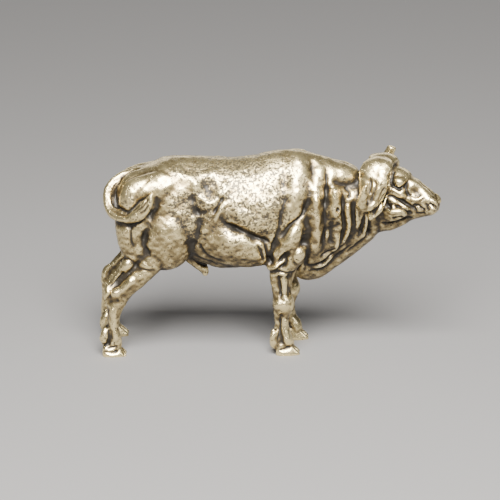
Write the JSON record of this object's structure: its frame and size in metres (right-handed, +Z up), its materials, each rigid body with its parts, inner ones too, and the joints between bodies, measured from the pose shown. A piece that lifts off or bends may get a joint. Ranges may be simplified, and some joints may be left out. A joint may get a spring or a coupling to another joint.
{
  "type": "buffalo bull figurine",
  "caption": "Small cast brass figurine of a standing buffalo bull with curled horns, deep neck folds and its tail swung over one thigh.",
  "frame": {"origin": "middle of the figure's bounding box, on the plane of the hooves' soles", "axes": "+X towards the bull's muzzle, +Z up, the bull's right side at -Y"},
  "size_m": [0.0604, 0.0174, 0.0356],
  "materials": {
    "brass": "antiqued cast brass, dark in the hollows and rubbed bright on the high places"
  },
  "bodies": {
    "root": {"bull_figure": "brass"}
  },
  "joints": []
}
